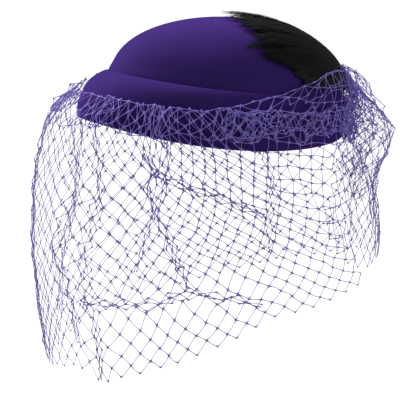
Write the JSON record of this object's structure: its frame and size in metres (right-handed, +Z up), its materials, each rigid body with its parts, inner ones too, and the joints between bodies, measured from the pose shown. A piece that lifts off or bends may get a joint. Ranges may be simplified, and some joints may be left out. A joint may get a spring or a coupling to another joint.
{
  "type": "felt pillbox hat with veil",
  "caption": "Felt pillbox hat with a domed crown set in a soft turned-up cuff, a gathered net veil hanging past the face and a feather pad at the back.",
  "frame": {"origin": "centre of the head opening, at the lower edge of the cuff", "axes": "+Z up as the hat is worn, -Y toward the wearer's front, +X toward the wearer's left"},
  "size_m": [0.2381, 0.2926, 0.2771],
  "materials": {
    "felt": "deep purple wool felt with a short soft nap",
    "net": "violet hat netting, dull and slightly stiff",
    "feathers": "black feathers with a soft sheen"
  },
  "bodies": {
    "root": {"crown": "felt", "cuff": "felt", "veil": "net", "veil_gather": "net", "feather_pad": "feathers"}
  },
  "joints": []
}
